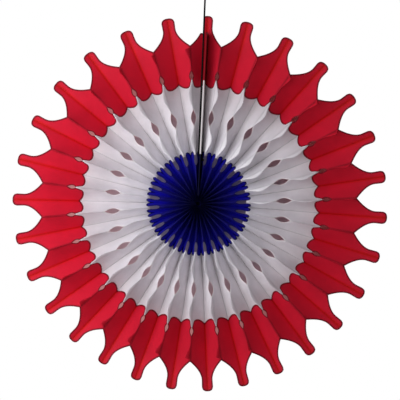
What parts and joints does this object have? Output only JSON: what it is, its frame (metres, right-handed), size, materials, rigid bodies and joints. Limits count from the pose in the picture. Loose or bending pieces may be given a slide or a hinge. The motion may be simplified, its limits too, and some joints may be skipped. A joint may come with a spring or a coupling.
{
  "type": "paper fan rosette",
  "caption": "Round party fan of creased, die-cut tissue leaves opened to a full circle between two end cards, hung by a cord with a knot at each end.",
  "frame": {"origin": "centre of the fan's bounding box, on the axis that the leaves stand round, half way through its depth", "axes": "the fan stands in the XZ plane and faces -Y, with its seam and cord at the top, on +Z; +X is to the right seen from the front"},
  "size_m": [0.6858, 0.0461, 0.7313],
  "materials": {
    "red_tissue": "matte translucent tissue",
    "white_tissue": "matte translucent tissue",
    "blue_tissue": "matte translucent tissue",
    "card": "uncoated card",
    "cord": "matte twisted cord"
  },
  "bodies": {
    "root": {"red_tissue": "red_tissue", "white_tissue": "white_tissue", "blue_tissue": "blue_tissue", "left_card": "card", "right_card": "card", "hanging_cord": "cord", "stopper_knot": "cord", "upper_knot": "cord"}
  },
  "joints": []
}
